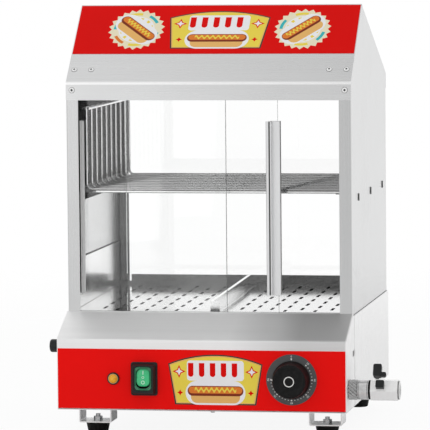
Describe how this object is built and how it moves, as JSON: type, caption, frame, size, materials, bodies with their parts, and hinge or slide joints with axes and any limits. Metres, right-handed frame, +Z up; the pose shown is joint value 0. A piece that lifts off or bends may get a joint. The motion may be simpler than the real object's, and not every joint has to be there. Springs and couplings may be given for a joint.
{
  "type": "hot dog steamer",
  "caption": "Counter-top sheet steel steamer cabinet with sliding glass doors, wire bun rack, perforated tray over a heated water tank, sloping console and drain valve.",
  "frame": {"origin": "middle of the overall footprint, at floor level under the rubber feet", "axes": "+Z up, -Y towards the console and doors, +X towards the drain valve"},
  "size_m": [0.4554, 0.443, 0.5527],
  "materials": {
    "steel": "brushed satin stainless sheet",
    "zinc": "bright zinc-plated fixings",
    "dark_steel": "dull dark heater sheath",
    "aluminium": "satin anodised extrusion",
    "glass": "clear polished glass",
    "red_print": "semi-gloss printed film",
    "black_rubber": "matt moulded rubber",
    "chrome": "bright plated wire",
    "copper": "drawn copper",
    "brass": "turned brass",
    "dark_plastic": "fine matt dark grey moulding",
    "black_plastic": "matt black moulding",
    "green_plastic": "clear-coated translucent green",
    "amber_plastic": "translucent amber"
  },
  "bodies": {
    "cabinet": {"console_shell": "steel", "base_casing": "steel", "base_plate": "steel", "base_screws": "zinc", "side_panel_left": "steel", "side_panel_right": "steel", "canopy": "steel", "roof_rear": "steel", "front_brace": "steel", "canopy_rivets": "aluminium", "sill_beam": "steel", "bottom_track": "aluminium", "top_track": "aluminium", "rear_sill": "steel", "rear_glass": "glass", "rear_glass_beads": "black_rubber", "side_liner_left": "steel", "side_liner_right": "steel", "water_tank": "steel", "heating_element": "dark_steel", "tank_glands": "brass", "level_probe": "steel", "thermostat_bulb": "copper", "rack_support_left": "steel", "rack_support_right": "steel", "sign_panel": "red_print", "control_panel": "red_print", "dial_plate": "dark_plastic", "thermostat_body": "dark_plastic", "switch_bezel": "black_plastic", "switch_boot": "green_plastic", "switch_housing": "black_plastic", "lamp_bezel": "black_plastic", "lamp_lens": "amber_plastic", "reset_cutout": "black_plastic", "drain_pipe": "steel", "drain_nut": "steel", "drain_sleeve": "steel", "drain_seal": "black_rubber", "valve_body": "steel", "foot_brackets": "steel", "rubber_feet": "black_rubber", "foot_hardware": "zinc", "cord_gland": "black_plastic"},
    "left_door": {"door_glass_left": "glass", "door_handle_left": "aluminium"},
    "right_door": {"door_glass_right": "glass", "door_handle_right": "aluminium"},
    "temperature_knob": {"thermostat_knob": "dark_plastic", "thermostat_shaft": "steel"},
    "rocker": {"switch_rocker": "green_plastic"},
    "drain_lever": {"valve_stem": "steel", "valve_ball": "chrome", "valve_lever": "steel", "lever_grip": "black_plastic"},
    "reset_cap": {"reset_button": "dark_plastic"},
    "bun_rack": {"bun_rack_wires": "chrome", "bun_rack_frame": "chrome"},
    "tray": {"steam_tray": "steel"},
    "tray_divider": {"divider": "steel"}
  },
  "joints": [
    {"name": "left_door_slide", "type": "slide", "parent": "cabinet", "child": "left_door", "axis": [1, 0, 0], "range_m": [0, 0.1615]},
    {"name": "right_door_slide", "type": "slide", "parent": "cabinet", "child": "right_door", "axis": [1, 0, 0], "range_m": [-0.0715, 0.0919]},
    {"name": "thermostat_turn", "type": "hinge", "parent": "cabinet", "child": "temperature_knob", "pos_m": [0.09187, -0.198, 0.0807], "axis": [0, 1, 0], "range_deg": [-270, 0]},
    {"name": "rocker_tilt", "type": "hinge", "parent": "cabinet", "child": "rocker", "pos_m": [-0.09857, -0.1955, 0.0797], "axis": [1, 0, 0], "range_deg": [0, 12]},
    {"name": "drain_lever_turn", "type": "hinge", "parent": "cabinet", "child": "drain_lever", "pos_m": [0.20388, -0.176, 0.0664], "axis": [0, 0.866, -0.5], "range_deg": [0, 90]},
    {"name": "reset_press", "type": "slide", "parent": "cabinet", "child": "reset_cap", "axis": [1, 0, 0], "range_m": [0, 0.002], "stiffness_N_per_m": 600},
    {"name": "rack_lift", "type": "slide", "parent": "cabinet", "child": "bun_rack", "axis": [0, 0, 1], "range_m": [0, 0.02]},
    {"name": "tray_lift", "type": "slide", "parent": "cabinet", "child": "tray", "axis": [0, 0, 1], "range_m": [0, 0.02]},
    {"name": "divider_lift", "type": "slide", "parent": "tray", "child": "tray_divider", "axis": [0, 0, 1], "range_m": [0, 0.03]}
  ]
}
